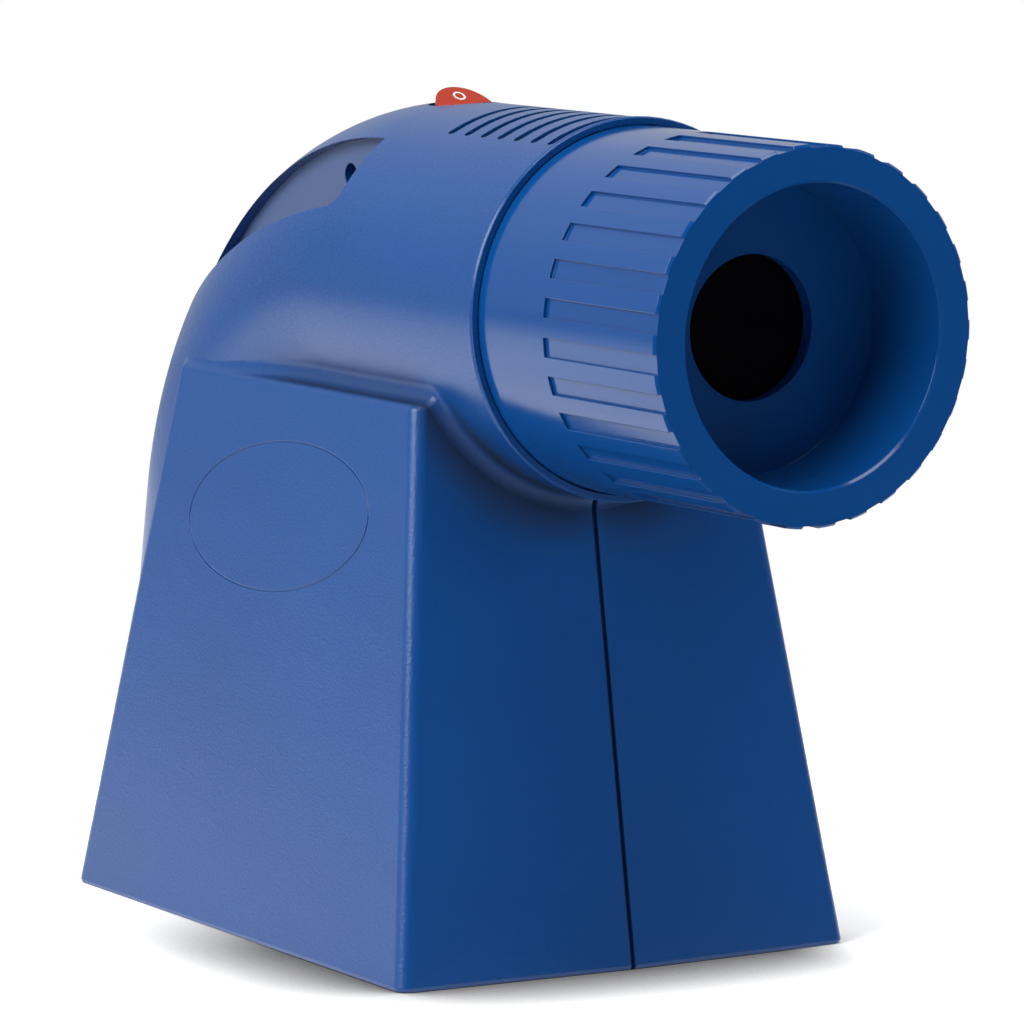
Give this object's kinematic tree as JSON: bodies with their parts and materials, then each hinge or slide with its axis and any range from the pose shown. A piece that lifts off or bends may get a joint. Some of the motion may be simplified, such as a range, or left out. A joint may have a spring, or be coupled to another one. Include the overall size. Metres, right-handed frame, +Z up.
{
  "type": "opaque projector",
  "caption": "Table-top opaque projector: flared base over a copy window, bent tube with mirror and lamp inside, sliding lens sleeve and a rocker switch.",
  "frame": {"origin": "on the table under the middle of the projector's overall length and width, with the lens sleeve as left", "axes": "+Z up; the lens looks along -Y; +X is to the projector's left as it faces forward and square to its plane of symmetry"},
  "size_m": [0.1498, 0.3285, 0.2425],
  "materials": {
    "blue_plastic": "moulded, satin gloss",
    "red_plastic": "moulded, glossy",
    "black_plastic": "matt black",
    "screw_steel": "zinc plated",
    "spring_steel": "plain spring steel",
    "carrier_steel": "zinc plated sheet",
    "felt": "black felt",
    "lens_glass": "polished",
    "mirror_glass": "front surfaced",
    "bulb_glass": "frosted",
    "cap_brass": "bright",
    "brass": "tinned edge",
    "socket_ceramic": "unglazed white",
    "reflector_aluminium": "bright rolled sheet",
    "baffle_paint": "matt black",
    "rubber": "plain"
  },
  "bodies": {
    "housing": {"housing_left": "blue_plastic", "housing_right": "blue_plastic", "housing_screws": "screw_steel", "switch_body": "black_plastic", "switch_terminals": "brass", "mirror": "mirror_glass", "mirror_carrier": "carrier_steel", "mirror_clips": "spring_steel", "carrier_screws": "screw_steel", "lamp_bulb": "bulb_glass", "lamp_cap": "cap_brass", "lamp_socket": "socket_ceramic", "lamp_bracket": "carrier_steel", "bracket_screws": "screw_steel", "lamp_reflector": "reflector_aluminium", "light_baffle": "baffle_paint", "copy_plate": "black_plastic", "cord_grommet": "rubber"},
    "rocker": {"rocker": "red_plastic"},
    "focus_sleeve": {"focus_sleeve": "blue_plastic", "lens": "lens_glass", "lens_ring": "black_plastic", "felt_band": "felt"}
  },
  "joints": [
    {"name": "focus_slide", "type": "slide", "parent": "housing", "child": "focus_sleeve", "axis": [0, -1, 0], "range_m": [-0.03, 0.014]},
    {"name": "switch_rock", "type": "hinge", "parent": "housing", "child": "rocker", "pos_m": [0, 0.01215, 0.2326], "axis": [-1, 0, 0], "range_deg": [0, 20]}
  ]
}
